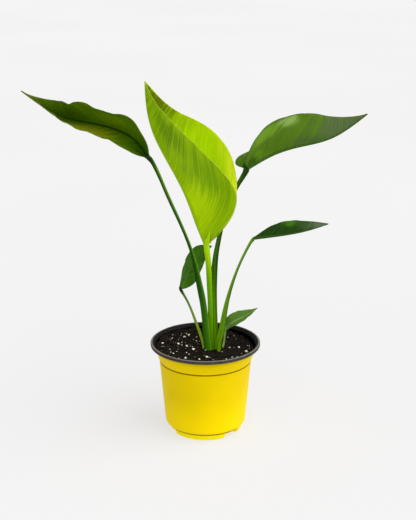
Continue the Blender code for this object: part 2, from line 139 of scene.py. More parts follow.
# Points on a smooth_line before they are evenly spaced.
LINE_SAMPLES = 400

# Petioles: centre line and radius in millimetres; which way the channel faces at the crown and at the
# blade, in degrees from +X towards the front; how deep and how wide the channel is at both ends.
PETIOLES = dict(
    centre=dict(
        line=[
            (9, 0, 107, 4.1), (8, 0, 150, 4), (7.2, -0.5, 190, 4), (5.9, -1, 216, 4),
            (4, -1.5, 250, 4.1), (2.3, -2, 272, 4.3),
        ],
        facing=(20, 10), deep=(0.12, 0.5), wide=(30, 50), collar=0, neck=22,
    ),
    right=dict(
        line=[
            (12.2, 2.5, 107, 5.6), (11.7, 4, 140, 5.8), (11, 5, 190, 5.2), (11.8, 5.5, 219, 4.6),
            (14.1, 6.5, 250, 3.8), (17.5, 10, 269, 3.2), (24.2, 16, 297, 2.9), (33, 20, 320, 2.8),
            (44, 19, 348, 2.8), (55.3, 10.8, 373.6, 3.5),
        ],
        facing=(145, 150), deep=(0.75, 0.25), wide=(62, 36), collar=0.12, neck=16,
    ),
    left=dict(
        line=[
            (5, -1.5, 107, 6.2), (2, -0.2, 150, 5.9), (-2.1, 4, 185, 5.7), (-7.7, 8, 211, 4.9),
            (-20, 13, 260, 2.6), (-48.4, 22, 326, 2.4), (-59, 24.6, 351, 2.4), (-68, 27.2, 371, 2.7),
            (-77, 29.6, 383.8, 2.5),
        ],
        facing=(-12, 30), deep=(0.8, 0.2), wide=(66, 36), collar=0.3, neck=18,
    ),
    lower_right=dict(
        line=[
            (17, -5.2, 107, 4.3), (18.3, -5.4, 130, 4.5), (22.4, -6, 146, 4.4), (28.2, -7, 181, 3.1),
            (41.6, -8, 231, 1.8), (55, -8, 263, 1.8), (66.3, -8, 281.2, 1.8),
        ],
        facing=(150, 120), deep=(0.7, 0.25), wide=(60, 36), collar=0.2, neck=12,
    ),
    lower_left=dict(
        line=[
            (-1.5, -1, 107, 2.4), (-2.5, 0, 123, 2.2), (-12, 5, 152, 1.9), (-25.8, 11, 186, 1.5),
            (-34.8, 15.8, 201, 1.6),
        ],
        facing=(30, 40), deep=(0.6, 0.25), wide=(55, 40), collar=0.2, neck=8,
    ),
    small_right=dict(
        line=[(21, 6.5, 107, 1.6), (25, 8, 120, 1.5), (27, 10, 131, 1.3), (28, 10, 141.6, 1.3)],
        facing=(90, 90), deep=(0.3, 0.3), wide=(40, 40), collar=0.1, neck=8,
    ),
)

# Blades, as in the CAD: see leaf_surface.
BLADES = dict(
    left=dict(
        midrib=[(-78, 30, 386), (-103, 47, 410), (-155, 65, 424), (-203, 88, 431), (-257, 104, 463)],
        roll=(-74, -64, -41), widest=0.36, taper=(1.03, 1.42), base=2.3,
        far=dict(width=42, fold=(20, 45, 8), curl=(14, 42, -28), wave=(9, 3.5, 0.7)),
        near=dict(width=39, fold=(43, 46, 52), curl=(26, 42, 53), wave=(4, 1.9, 6.1)),
    ),
    centre=dict(
        midrib=[(2, -2, 273), (-7.8, 0, 300), (-29.2, -6, 355), (-67.6, -9, 430), (-77.4, -8, 493)],
        roll=(-8, -16, 0), widest=0.41, taper=(0.8, 1.05), base=4.2,
        far=dict(width=76, fold=(70, 43, 70), curl=(58, 40, -37)),
        near=dict(width=75, fold=(73, 50, 80), curl=(-17, 13, -55)),
    ),
    right=dict(
        midrib=[(56, 10, 375), (88, 15, 392), (125, 6, 405.8), (167, -4, 419), (210, -20, 452.6)],
        roll=(-25, -37, -39), widest=0.39, taper=(0.72, 1.1), base=2.7,
        far=dict(width=44, fold=(35, 41, 51), curl=(-9, 0, 30), sweep=(10, -6, 15)),
        near=dict(width=52, fold=(49, 39, 54), curl=(16, 0, 38), sweep=(50, 5, 0)),
    ),
    lower_right=dict(
        midrib=[(67, -8, 282), (89, -9, 285), (129, -16, 293.2), (164, -22, 305.4)],
        roll=(-28, -28, -28), widest=0.47, taper=(0.95, 0.92), base=1.7,
        far=dict(width=22, fold=(32, 33, 33), curl=(3, 5, 6)),
        near=dict(width=22, fold=(30, 31, 32), curl=(0, 2, 6)),
    ),
    lower_left=dict(
        midrib=[(-35, 16, 201), (-23, 25, 224), (-9, 32, 250), (9, 32, 258)],
        roll=(90, 95, 90), widest=0.42, taper=(1.05, 0.96), base=1.4,
        far=dict(width=20, fold=(25, 5, 25), curl=(14, -4, 16)),
        near=dict(width=18, fold=(23, 13, 22), curl=(12, 4, 12)),
    ),
    small_right=dict(
        midrib=[(28, 10, 142), (38, 7, 154), (54, 7, 163), (72, 4, 177)],
        roll=(57, 55, 60), widest=0.43, taper=(0.95, 1.4), base=1.3,
        far=dict(width=13, fold=(25, 40, 26), curl=(10, 25, 11)),
        near=dict(width=12, fold=(21, 30, 25), curl=(7, 18, 10)),
    ),
)
TIP_RADIUS = 0.5 * MM
BLADE_THICK = 0.55 * MM
# How the rows of a blade crowd towards its midrib.
ROW_SPREAD = 1.15
# Rings along and rows out of each half; pleat spacing and height and margin ripple in millimetres.
BLADE_MAKE = dict(
    left=dict(detail=(200, 34), pleat=(7, 0.35), ripple=(1, 32)),
    centre=dict(detail=(220, 40), pleat=(8.5, 0.3), ripple=(0.6, 40)),
    right=dict(detail=(200, 36), pleat=(6.5, 0.22), ripple=(0.7, 30)),
    lower_right=dict(detail=(140, 24), pleat=(4.5, 0.16), ripple=(0.4, 22)),
    lower_left=dict(detail=(110, 22), pleat=(4, 0.15), ripple=(0.4, 20)),
    small_right=dict(detail=(90, 18), pleat=(3.5, 0.12), ripple=(0.35, 14)),
)
# How a vein falls back on its way out from the midrib.
VEIN_LEAN = 0.75
VEIN_BEND = 6
# Noise in the pleats, and a slow warp of the whole blade.
WANDER_SCALE = 45
WARP_SCALE = 14
WARP = 0.9 * MM

# Rings along a petiole and points round it.
STALK_RINGS = 170
STALK_SIDES = 56
# The collar under the neck: how far below it and how long.
COLLAR_BELOW = 3.5 * MM
COLLAR_LONG = 4.5 * MM
# The channel's thin margins: width in radians, height, and further height at the crown.
CHANNEL_LIP_WIDE = 0.16
CHANNEL_LIP = 0.05
CHANNEL_LIP_FOOT = 0.10

# Colours are given on the screen's 0 to 255 scale. See leaf_material and patched.
LEAF_LOOKS = dict(
    left=dict(
        top=((66, 104, 0), (86, 124, 0)), under=((62, 100, 8), (86, 120, 18)),
        vein=(112, 142, 4), rib=(22, 64, 0), edge=(120, 96, 24), streak=0.25, lines=(9, 0.14),
        patches_and_painted_light=[
            ((50, 88, 6), 0.9, 0.03, 0, 0.13, 1.3),
            # Painted light shining through the blade: olive yellow on the near half.
            ((150, 154, 24), 0.9, 0.4, -0.55, 0.24, 0.6),
            ((112, 144, 4), 0.75, 0.32, 0.42, 0.14, 0.4),
            ((64, 96, 0), 0.5, 0.75, 0.2, 0.3, 1.2),
        ],
    ),
    centre=dict(
        top=((166, 208, 0), (188, 226, 0)), under=((116, 162, 0), (146, 190, 0)),
        vein=(198, 230, 20), rib=(150, 190, 0), edge=(214, 214, 84), streak=0.14,
        lines=(13.5, 0.75), shine=0.025,
        patches_and_painted_light=[
            ((86, 132, 0), 0.8, 0.7, -0.5, 0.2, 0.45),
            ((96, 150, 0), 0.5, 0.42, -0.7, 0.16, 0.35),
            ((190, 232, 0), 0.7, 0.24, -0.18, 0.2, 0.5),
            ((172, 212, 0), 0.55, 0.1, -0.3, 0.12, 0.9),
            ((138, 174, 6), 0.8, 0.74, 0.75, 0.16, 0.7),
            ((74, 90, 4), 0.95, 0.9, 0.6, 0.16, 0.9),
            ((244, 255, 40), 0.95, 0.27, 1, 0.26, 0.3),
        ],
    ),
    right=dict(
        top=((54, 98, 0), (74, 118, 0)), under=((76, 112, 16), (92, 130, 30)),
        vein=(116, 158, 40), rib=(58, 96, 24), edge=(74, 100, 40), lines=(6, 0.25), shine=0.06,
        patches_and_painted_light=[
            # Painted highlights: the gloss near the upper margin, and at the base.
            ((122, 166, 48), 0.8, 0.23, 0.82, 0.15, 0.28),
            ((158, 194, 104), 0.85, 0.4, 0.86, 0.08, 0.24),
            ((96, 144, 8), 0.6, 0.12, 0.3, 0.06, 0.3),
            # This one is painted glare, greyish, towards the tip.
            ((90, 108, 72), 0.95, 0.84, 0.3, 0.36, 1.1),
            ((70, 92, 54), 0.7, 0.5, 0.05, 0.2, 0.3),
            ((30, 72, 0), 0.9, 0.04, 0.1, 0.08, 0.6),
            # Painted shade along the upper margin, where the blade curves away.
            ((36, 78, 0), 0.85, 0.26, 1.08, 0.3, 0.16),
        ],
    ),
    lower_right=dict(
        top=((16, 60, 0), (32, 76, 0)), under=((18, 52, 4), (32, 72, 8)),
        vein=(76, 112, 44), rib=(56, 90, 36), edge=(58, 80, 30), lines=(5, 0.25),
        patches_and_painted_light=[
            ((70, 136, 6), 0.85, 0.52, 0.85, 0.14, 0.4),
            ((70, 98, 46), 0.8, 0.72, 0.5, 0.14, 0.9),
            ((104, 122, 92), 0.95, 0.9, 0.4, 0.16, 1.2),
        ],
    ),
    lower_left=dict(
        top=((44, 98, 4), (72, 126, 14)), under=((44, 96, 4), (70, 122, 14)),
        vein=(100, 146, 50), rib=(84, 128, 44), edge=(68, 96, 30), lines=(5, 0.25),
        patches_and_painted_light=[((80, 138, 20), 0.6, 0.8, 0, 0.3, 1.2)],
    ),
    small_right=dict(
        top=((90, 136, 46), (108, 152, 62)), under=((86, 132, 46), (104, 148, 60)),
        vein=(140, 180, 96), rib=(156, 192, 112), edge=(116, 152, 76), lines=(4, 0.3),
    ),
)
# See stalk_material. dark is the colour of the painted shade on each stalk's side away from its channel.
STALK_LOOKS = dict(
    centre=dict(
        outer=(112, 172, 0), dark=(98, 160, 0), inner=(124, 182, 0),
        lip_colour=(140, 196, 4), foot=(80, 142, 0), foot_up=0.6, head=(184, 228, 0), head_up=(0.55, 0.92),
    ),
    right=dict(
        outer=(44, 92, 4), dark=(20, 58, 0), inner=(72, 120, 4),
        lip_colour=(96, 140, 10), foot=(120, 190, 0), foot_up=0.5, head=(26, 62, 4), head_up=(0.84, 0.95),
    ),
    left=dict(
        outer=(52, 108, 8), dark=(20, 70, 4), inner=(104, 160, 20),
        lip_colour=(150, 186, 50), foot=(84, 152, 20), foot_up=0.45, head=(20, 48, 4), head_up=(0.86, 0.93),
    ),
    lower_right=dict(
        outer=(52, 100, 8), dark=(24, 66, 4), inner=(104, 160, 10),
        lip_colour=(130, 160, 50), foot=(124, 184, 4), foot_up=0.6, head=(22, 60, 8), head_up=(0.88, 0.96),
    ),
    lower_left=dict(
        outer=(64, 92, 20), dark=(56, 84, 14), inner=(90, 126, 30),
        lip_colour=(140, 176, 60), foot=(200, 240, 56), foot_up=0.9, head=(30, 26, 12), head_up=(0.8, 0.9),
    ),
    small_right=dict(
        outer=(124, 170, 84), dark=(84, 130, 60), inner=(160, 200, 110),
        lip_colour=(170, 206, 126), foot=(150, 190, 104),
    ),
)
LEAF_ROUGH = 0.40
LEAF_EDGE = (0.3 * MM, 1.2 * MM)
FINE_VEINS = 1.3 * MM
RIB_WIDE = 3 * MM
STALK_ROUGH = 0.42
STALK_SHINE = 0.05

YELLOWS = ((232, 204, 0), (240, 212, 0))
# Painted light and shade on the yellow skin, paler towards the foot and darker under the lip: between two
# heights in millimetres, its share at each, and its colour.
YELLOW_PAINTED_LIGHT = (
    (14, 70, 0.9, 0, (255, 225, 0)),
    (9.2, 8.2, 0, 0.9, (255, 238, 0)),
    (116, 124.5, 0, 0.75, (196, 158, 0)),
)
# Its shaded lines, the groove and the foot's step: height and reach in millimetres.
YELLOW_LINES = ((104, 1.7), (10.5, 2.2))
# How the fibres of the mix are drawn out: noise to the metre on each axis.
FIBRE_SCALES = (900, 260, 500)


def srgb(red, green, blue):
    """A colour on the screen's 0 to 255 scale, as the linear values that shaders take."""
    linear = []
    for level in (red / 255, green / 255, blue / 255):
        linear.append(level / 12.92 if level <= 0.04045 else ((level + 0.055) / 1.055) ** 2.4)
    return (*linear, 1)


class Recipe:
    """A node material being put together. Colours are tuples on the screen's 0 to 255 scale."""

    def __init__(self, name):
        self.material = bpy.data.materials.new(name)
        self.material.use_nodes = True
        self.tree = self.material.node_tree
        self.shader = self.tree.nodes["Principled BSDF"]
        self.colour = None

    def feed(self, socket, value):
        """Links another node's output to the socket, or sets the socket to a colour or a number."""
        if isinstance(value, bpy.types.NodeSocket):
            self.tree.links.new(value, socket)
        elif isinstance(value, tuple):
            socket.default_value = srgb(*value)
        else:
            socket.default_value = value

    def node(self, kind, settings=None, inputs=None):
        """A new node with these settings and inputs."""
        made = self.tree.nodes.new("ShaderNode" + kind)
        for key, value in (settings or {}).items():
            setattr(made, key, value)
        for key, value in (inputs or {}).items():
            self.feed(made.inputs[key], value)
        return made

    def math(self, operation, *values):
        made = self.node("Math", {"operation": operation})
        for socket, value in zip(made.inputs, values):
            self.feed(socket, value)
        return made.outputs[0]

    def plus(self, first, second):
        return self.math("ADD", first, second)

    def minus(self, first, second):
        return self.math("SUBTRACT", first, second)

    def times(self, first, second):
        return self.math("MULTIPLY", first, second)

    def over(self, first, second):
        return self.math("DIVIDE", first, second)

    def attribute(self, name):
        """The three numbers of a mesh attribute."""
        return self.split(self.node("Attribute", {"attribute_name": name}).outputs["Vector"])

    def split(self, vector):
        return self.node("SeparateXYZ", None, {0: vector}).outputs

    def join(self, x, y, z):
        return self.node("CombineXYZ", None, {0: x, 1: y, 2: z}).outputs[0]

    def length(self, vector):
        return self.node("VectorMath", {"operation": "LENGTH"}, {0: vector}).outputs["Value"]

    def place(self):
        return self.node("TexCoord").outputs["Object"]

    def noise(self, vector, scale, detail, rough):
        inputs = {"Vector": vector, "Scale": scale, "Detail": detail, "Roughness": rough}
        return self.node("TexNoise", None, inputs).outputs[0]

    def span(self, value, low, high, to_low=0, to_high=1):
        """value from low to high eased into to_low to to_high."""
        made = self.node("MapRange", {"interpolation_type": "SMOOTHSTEP"})
        for socket, given in zip(made.inputs, (value, low, high, to_low, to_high)):
            self.feed(socket, given)
        return made.outputs[0]

    def mix(self, share, first, second):
        made = self.node("Mix", {"data_type": "RGBA"})
        for index, value in ((0, share), (6, first), (7, second)):
            self.feed(made.inputs[index], value)
        return made.outputs[2]

    def bump(self, height, strength, distance):
        made = self.node("Bump", None, {"Height": height, "Strength": strength, "Distance": distance})
        self.feed(self.shader.inputs["Normal"], made.outputs[0])

    def layer(self, share, tone):
        """Lays the tone over the colour so far."""
        self.colour = self.mix(share, self.colour, tone)

    def done(self, roughness, shine):
        """The material. shine is its specular level."""
        self.feed(self.shader.inputs["Base Color"], self.colour)
        self.feed(self.shader.inputs["Roughness"], roughness)
        self.feed(self.shader.inputs["Specular IOR Level"], shine)
        return self.material


def object_from(name, points, faces, materials, smooth=True):
    """A mesh object of these points and faces, each face a tuple of point numbers."""
    mesh = bpy.data.meshes.new(name)
    mesh.from_pydata([tuple(p) for p in points], [], [tuple(f) for f in faces])
    mesh.validate()
    mesh.polygons.foreach_set("use_smooth", [smooth] * len(mesh.polygons))
    for material in materials:
        mesh.materials.append(material)
    obj = bpy.data.objects.new(name, mesh)
    bpy.context.scene.collection.objects.link(obj)
    return obj


def outward(obj, weld=None):
    """Turns the object's faces outward, after joining points nearer to each other than weld."""
    bm = bmesh.new()
    bm.from_mesh(obj.data)
    if weld:
        bmesh.ops.remove_doubles(bm, verts=bm.verts, dist=weld)
    bmesh.ops.recalc_face_normals(bm, faces=bm.faces)
    bm.to_mesh(obj.data)
    bm.free()


def vectors(obj, name, values):
    """A value of three numbers at each vertex, which materials read by name."""
    made = obj.data.attributes.new(name, "FLOAT_VECTOR", "POINT")
    made.data.foreach_set("vector", np.ascontiguousarray(values, np.float32).ravel())


def installed(obj, slot, *nodes):
    """Makes the object the visible surface of these nodes of the CAD."""
    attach(obj, BODY)
    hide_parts(*nodes)


def unit(values):
    return values / np.linalg.norm(values, axis=-1, keepdims=True)


def run_along(line):
    """The distance along the line to each of its points."""
    return np.concatenate([[0], np.cumsum(np.linalg.norm(np.diff(line, axis=0), axis=1))])


def smooth_line(points, count):
    """A natural cubic through the points, evenly spaced along its length. Extra columns follow it."""
    points = np.array(points, float)
    steps = np.linalg.norm(np.diff(points[:, :3], axis=0), axis=1) ** 0.5
    knots = np.concatenate([[0], np.cumsum(steps)])
    last = len(points) - 1
    matrix = np.zeros((last + 1, last + 1))
    right = np.zeros_like(points)
    matrix[0, 0] = matrix[last, last] = 1
    for i in range(1, last):
        before, after = steps[i - 1], steps[i]
        matrix[i, i - 1 : i + 2] = before, 2 * (before + after), after
        right[i] = 6 * ((points[i + 1] - points[i]) / after - (points[i] - points[i - 1]) / before)
    bend = np.linalg.solve(matrix, right)
    at = np.linspace(0, knots[-1], LINE_SAMPLES)
    i = np.clip(np.searchsorted(knots, at, side="right") - 1, 0, last - 1)
    a = (knots[i + 1] - at)[:, None]
    b = (at - knots[i])[:, None]
    h = steps[i][:, None]
    fine = (bend[i] * a**3 + bend[i + 1] * b**3) / (6 * h)
    fine += (points[i] / h - bend[i] * h / 6) * a + (points[i + 1] / h - bend[i + 1] * h / 6) * b
    run = run_along(fine[:, :3])
    even = np.linspace(0, run[-1], count)
    return np.stack([np.interp(even, run, fine[:, c]) for c in range(points.shape[1])], -1)


def blend(values, t):
    """The quadratic with these values at the base, the middle and the tip."""
    base, middle, tip = values
    return base * (1 - t) * (1 - 2 * t) + 4 * middle * t * (1 - t) + tip * t * (2 * t - 1)


def eased(share):
    return share * share * (3 - 2 * share)


def leaf_surface(leaf, along, across):
    """The upper surface: its rows of points from the near margin over the midrib to the far one, each
    point's distance out from the midrib and its share of the way out, both signed, and each row's t."""
    t = np.linspace(0, 1, along)
    midrib = smooth_line(leaf["midrib"], along) * MM
    tangent = unit(np.gradient(midrib, axis=0))
    up = np.array([0, 0, 1])
    rise = unit(up - (tangent @ up)[:, None] * tangent)
    side = np.cross(tangent, rise)
    roll = np.radians(blend(leaf["roll"], t))[:, None]
    rise = rise * np.cos(roll) + side * np.sin(roll)
    side = np.cross(tangent, rise)
    power = log(0.5) / log(leaf["widest"])
    full = leaf["taper"][0] + (leaf["taper"][1] - leaf["taper"][0]) * t
    outline = np.sin(np.pi * t**power).clip(0, 1) ** full
    end = (leaf["base"] * MM) * (1 - t) ** 2 + TIP_RADIUS * t
    out = np.linspace(0, 1, across) ** ROW_SPREAD
    halves = []
    for sign, half in ((-1, leaf["near"]), (1, leaf["far"])):
        width = half["width"] * MM * outline + end
        fold = blend(half["fold"], t)
        curl = blend(half["curl"], t)
        swing, number, phase = half.get("wave", (0, 1, 0))
        sweep = np.radians(blend(half.get("sweep", (0, 0, 0)), t))[:, None]
        margin = swing * np.sin(2 * np.pi * number * t + phase) * np.sqrt(np.sin(np.pi * t).clip(0, 1))
        point = midrib.copy()
        rows = [point]
        for inner, outer in zip(out, out[1:]):
            mean = (inner + outer) / 2
            angle = np.radians(fold + (curl + margin) * mean)[:, None]
            sideways = np.cos(angle) * side * sign + np.sin(angle) * rise
            heading = np.cos(sweep) * sideways - np.sin(sweep) * tangent
            point = point + (width * (outer - inner))[:, None] * heading
            rows.append(point)
        halves.append((np.array(rows), sign * out[:, None] * width, sign * out[:, None] * np.ones_like(t)))
    surface, distance, share = (np.concatenate([near[::-1], far[1:]]) for near, far in zip(*halves))
    return surface.transpose(1, 0, 2), distance.T, share.T, t


def normals_of(surface):
    """Towards the underside at each point."""
    return unit(np.cross(np.gradient(surface, axis=0), np.gradient(surface, axis=1)))


def noise_field(points, scale, octaves, seed):
    """Smooth noise from -1 to 1 at each point."""
    shift = Vector((seed * 17.3, seed * 5.1, seed * 9.7))
    flat = points.reshape(-1, 3)
    values = [noise.fractal(Vector(p) * scale + shift, 1, 2, octaves) for p in flat]
    return np.array(values).reshape(points.shape[:-1])


def pleats_of(surface, distance, share, run, vein, ends, make):
    """How far the skin stands above leaf_surface."""
    spacing, height = make["pleat"]
    ripple, wave_length = make["ripple"]
    inside = np.sin(np.pi * np.abs(share).clip(0, 1)) ** 0.7
    jitter = noise_field(np.stack([vein, distance * 0.2, np.zeros_like(vein)], -1), WANDER_SCALE, 2, 3)
    pleats = np.sin(2 * np.pi * (vein / (spacing * MM) + 0.8 * jitter)) * inside * ends * height * MM
    waves = np.sin(2 * np.pi * run / (wave_length * MM) + 2.5 * np.sign(share) + 3 * jitter)
    pleats = pleats + waves * np.abs(share) ** 3 * ends * ripple * MM
    return pleats + noise_field(surface, WARP_SCALE, 3, 8) * WARP * ends * np.abs(share)


def quads(*corners):
    """Faces from arrays of their first, second, third and fourth corners."""
    return list(zip(*(corner.ravel() for corner in corners)))


def sheet_faces(along, across):
    """Faces of a closed sheet: its upper grid of points, then its lower one."""
    top = np.arange(along * across).reshape(along, across)
    low = top + along * across
    faces = quads(top[:-1, :-1], top[1:, :-1], top[1:, 1:], top[:-1, 1:])
    faces += quads(low[:-1, :-1], low[:-1, 1:], low[1:, 1:], low[1:, :-1])
    faces += quads(top[:-1, 0], low[:-1, 0], low[1:, 0], top[1:, 0])
    faces += quads(top[:-1, -1], top[1:, -1], low[1:, -1], low[:-1, -1])
    faces += quads(top[0, :-1], top[0, 1:], low[0, 1:], low[0, :-1])
    return faces + quads(low[-1, :-1], low[-1, 1:], top[-1, 1:], top[-1, :-1])


def make_blade(name, leaf, make, material):
    """A thin blade with pleats along its veins, a rippled margin and a midrib."""
    surface, distance, share, t = leaf_surface(leaf, *make["detail"])
    along, across = surface.shape[:2]
    t = t[:, None]
    run = run_along(surface[:, across // 2])[:, None]
    # Veins leave the midrib steeply and bend towards the tip.
    away = np.abs(distance)
    vein = run - away * VEIN_LEAN - VEIN_BEND * away**2
    normal = normals_of(surface)
    ends = np.sin(np.pi * t).clip(0, 1) ** 0.6
    surface = surface - normal * pleats_of(surface, distance, share, run, vein, ends, make)[..., None]
    rib = leaf["base"] * MM * (1 - 0.85 * t)
    near_rib = np.exp(-((distance / (1.05 * rib)) ** 2))
    groove = 0.45 * rib * (1 - 0.6 * t) * np.exp(-((distance / (0.55 * rib)) ** 2)) * ends
    upper = surface + normal * groove[..., None]
    edge = np.clip((1 - np.abs(share)) * 14, 0.12, 1)
    thick = BLADE_THICK * edge + (1.25 * rib + 0.15 * MM) * near_rib
    lower = surface + normal * (thick + groove * 0.5)[..., None]
    points = np.concatenate([upper.reshape(-1, 3), lower.reshape(-1, 3)])
    blade = object_from(f"blade_{name}", points, sheet_faces(along, across), [material])
    outward(blade)
    growth = np.stack([vein, distance, np.broadcast_to(t, distance.shape)], -1).reshape(-1, 3)
    vectors(blade, "growth", np.concatenate([growth, growth]))
    margin = (1 - np.abs(share)) * np.abs(distance[:, -1:])
    trim = [np.stack([np.full_like(share, upside), margin, share], -1).reshape(-1, 3) for upside in (1, 0)]
    vectors(blade, "trim", np.concatenate(trim))
    return blade


def neck_line(name, reach):
    """Where the petiole runs on under its blade's midrib, thinning out over this reach in millimetres."""
    rows, columns = 120, 9
    surface, _, _, _ = leaf_surface(BLADES[name], rows, columns)
    normal = normals_of(surface)[:, columns // 2]
    midrib = surface[:, columns // 2]
    run = run_along(midrib) / MM
    last = PETIOLES[name]["line"][-1][3]
    neck = []
    for share in (0.35, 0.65, 1):
        row = int(np.searchsorted(run, reach * share))
        radius = last * (1 - 0.86 * share)
        point = midrib[row] / MM + normal[row] * radius * 0.45
        neck.append((*point, radius))
    return neck


def channel_section(shape, up):
    """Of each point round the stalk at each height up, from 0 to 1: its turn from the channel, its reach
    for a radius of 1, and how far it is on the channel's margin and inside the channel."""
    fall = (1 - up) ** 1.4
    deep = shape["deep"][1] + (shape["deep"][0] - shape["deep"][1]) * fall
    wide = np.radians(shape["wide"][1] + (shape["wide"][0] - shape["wide"][1]) * fall)
    # More sections near the channel's margins.
    angle = np.linspace(-pi, pi, STALK_SIDES, endpoint=False)
    turn = np.tile(angle - 0.275 * np.sin(2 * angle), (STALK_RINGS, 1))
    inside = np.clip(1 - (np.abs(turn) / wide[:, None]) ** 2, 0, 1)
    lip = np.exp(-(((np.abs(turn) - wide[:, None] * 1.02) / CHANNEL_LIP_WIDE) ** 2))
    reach = 1 - deep[:, None] * inside**0.8 + (CHANNEL_LIP + CHANNEL_LIP_FOOT * fall[:, None]) * lip
    grain = 0.012 * np.sin(9 * turn + 2) + 0.008 * np.sin(17 * turn)
    return turn, reach + grain * (1 - inside), lip, inside


def tube_faces(rings, sides):
    """Faces of a closed tube: its rings of points, then the middle of its bottom and of its top."""
    here = np.arange(rings * sides).reshape(rings, sides)
    after = np.roll(here, -1, axis=1)
    faces = quads(here[:-1], after[:-1], after[1:], here[1:])
    faces += [(rings * sides, *pair) for pair in zip(after[0], here[0])]
    return faces + [(rings * sides + 1, *pair) for pair in zip(here[-1], after[-1])]


def make_petiole(name, shape, material):
    """A stalk with a channel on the side that faces the younger leaves, edged by two thin margins."""
    line = smooth_line(shape["line"] + neck_line(name, shape["neck"]), STALK_RINGS)
    path, radius = line[:, :3] * MM, line[:, 3] * MM
    run = run_along(path)
    below_neck = np.linspace(run[-1], 0, STALK_RINGS) - shape["neck"] * MM
    collar = np.exp(-(((below_neck - COLLAR_BELOW) / COLLAR_LONG) ** 2))
    radius = radius * (1 + shape["collar"] * collar)
    tangent = unit(np.gradient(path, axis=0))
    up = np.linspace(0, 1, STALK_RINGS)
    facing = np.radians(shape["facing"][0] + (shape["facing"][1] - shape["facing"][0]) * up)
    toward = np.stack([np.cos(facing), -np.sin(facing), np.zeros(STALK_RINGS)], -1)
    toward = unit(toward - (toward * tangent).sum(-1, keepdims=True) * tangent)
    aside = np.cross(tangent, toward)
    turn, reach, lip, inside = channel_section(shape, up)
    way = np.cos(turn)[..., None] * toward[:, None] + np.sin(turn)[..., None] * aside[:, None]
    points = path[:, None] + (radius[:, None] * reach)[..., None] * way
    points = np.concatenate([points.reshape(-1, 3), path[:1], path[-1:]])
    petiole = object_from(f"petiole_{name}", points, tube_faces(STALK_RINGS, STALK_SIDES), [material])
    level = np.zeros_like(turn)
    stalk = np.stack([run[:, None] + level, np.abs(turn) / pi, up[:, None] + level], -1)
    vectors(petiole, "stalk", np.concatenate([stalk.reshape(-1, 3), [[0, 0, 0], [run[-1], 0, 1]]]))
    channel = np.stack([lip, inside, level], -1)
    vectors(petiole, "channel", np.concatenate([channel.reshape(-1, 3), np.zeros((2, 3))]))
    return petiole


def ground(x, y):
    """Height of the mix's surface, as in the CAD."""
    lump = 0.6 * sin(190 * x + 1.3) * cos(230 * y) + 0.45 * sin(410 * x - 350 * y)
    slope = MIX_SLOPE[0] * x + MIX_SLOPE[1] * y
    dish = -DISH * exp(-((x - DISH_AT[0]) ** 2 + (y - DISH_AT[1]) ** 2) / DISH_REACH**2)
    mound = MOUND * exp(-((x - CROWN[0]) ** 2 + (y - CROWN[1]) ** 2) / MOUND_REACH**2)
    share = min(max((hypot(x, y) - BANK_FROM) / (BANK_TO - BANK_FROM), 0), 1)
    return MIX_LEVEL + slope + dish + mound + lump * MM + BANK * share**2


def crumbly(x, y):
    """The surface with the crumbs of the mix on it."""
    place = Vector((x, y, 0))
    height = CLODS[0] * noise.fractal(place * CLODS[1], 1, 2, 2)
    for size, scale, shift in CRUMBS:
        distances, _ = noise.voronoi(place * scale + Vector(shift))
        height += size * (0.5 - min(distances[0], 1))
    height += FINES[0] * noise.fractal(place * FINES[1], 1, 2, 2)
    return ground(x, y) + height * MM


def patched(skin, patches_and_painted_light, t, share, bands, streaks):
    """Lays soft blotches on the skin: the leaf's own tones, and on some leaves painted highlights, glare,
    light shining through and shade. Each is its colour, strength, place along the blade (0 base to 1 tip) and
    across it (-1 near margin to 1 far margin), and its reach in each."""
    ragged = skin.times(skin.minus(bands, 0.5), 1.2)
    stringy = skin.times(skin.minus(streaks, 0.5), 1.8)
    for shade, strength, at_t, at_share, reach_t, reach_share in patches_and_painted_light:
        far_t = skin.over(skin.minus(t, at_t), reach_t)
        far_share = skin.over(skin.minus(share, at_share), reach_share)
        far = skin.length(skin.join(far_t, far_share, 0))
        far = skin.plus(skin.plus(far, ragged), stringy)
        # Some of these are painted highlights, glare, light shining through and shade.
        skin.layer(skin.span(far, 0.25, 1, strength, 0), shade)


def strong_veins(skin, along, t, place, bands, spacing):
    """Where the stronger veins are: unevenly spaced, fading here and there and towards the tip."""
    count = skin.plus(skin.over(along, spacing * MM), skin.times(bands, 0.6))
    off = skin.math("ABSOLUTE", skin.minus(skin.math("FRACT", count), 0.5))
    line = skin.span(off, 0, 0.085, 1, 0)
    line = skin.times(line, skin.span(skin.noise(place, 40, 2, 0.5), 0.35, 0.65, 0.35, 1))
    return skin.times(line, skin.span(t, 0.55, 0.85, 1, 0.25))


